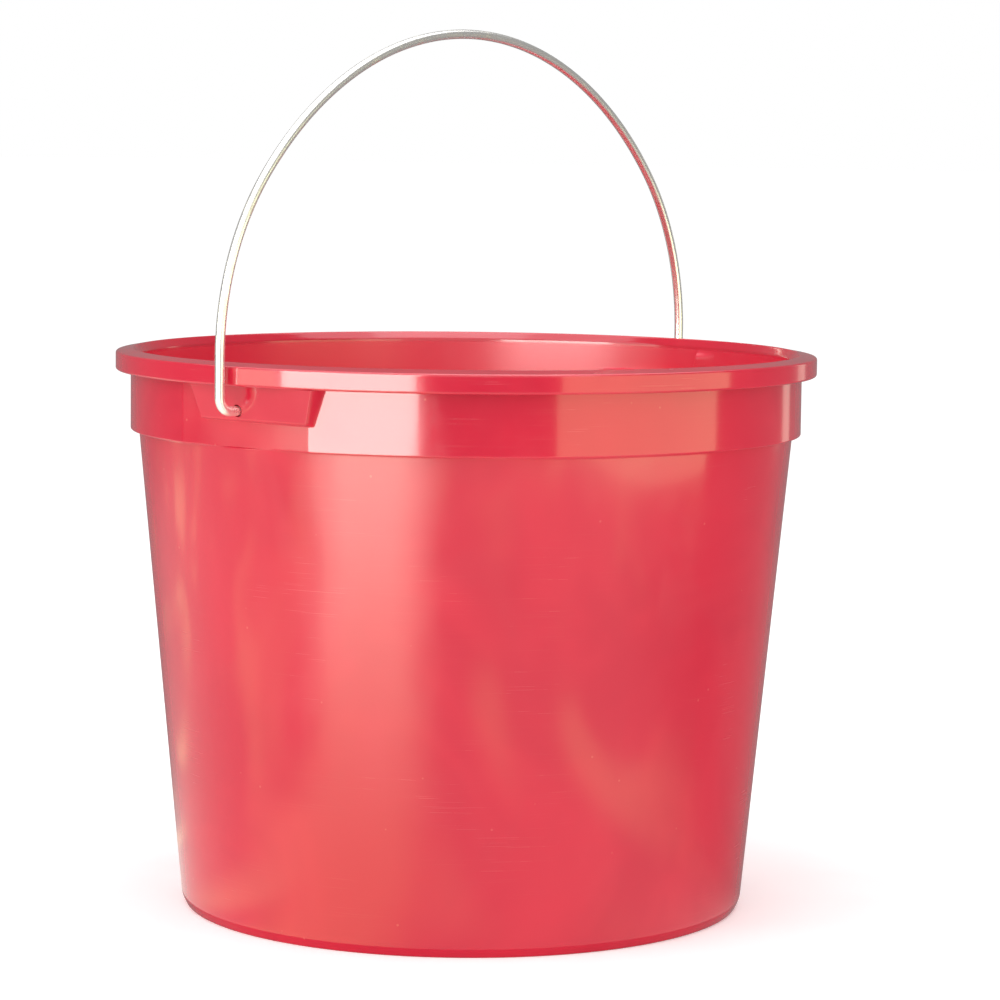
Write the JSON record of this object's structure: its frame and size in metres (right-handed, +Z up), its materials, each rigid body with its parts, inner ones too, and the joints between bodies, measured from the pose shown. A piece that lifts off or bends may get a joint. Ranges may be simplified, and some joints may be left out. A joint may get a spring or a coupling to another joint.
{
  "type": "wash bucket",
  "caption": "Round tapered plastic pail with a flanged rim and collar, and a bare wire bail that swings in two ears.",
  "frame": {"origin": "middle of the foot ring, on the surface the pail stands on", "axes": "+Z up along the pail's axis, +X along the bail's hinge line, +Y across it"},
  "size_m": [0.2346, 0.226, 0.2825],
  "materials": {
    "pail_plastic": "glossy red moulded polyethylene with fine scratches",
    "bail_wire": "bright zinc plated steel wire"
  },
  "bodies": {
    "pail": {"pail": "pail_plastic"},
    "bail": {"bail": "bail_wire"}
  },
  "joints": [
    {"name": "bail_swing", "type": "hinge", "parent": "pail", "child": "bail", "pos_m": [0, 0, 0.1654], "axis": [1, 0, 0], "range_deg": [-115, 115]}
  ]
}
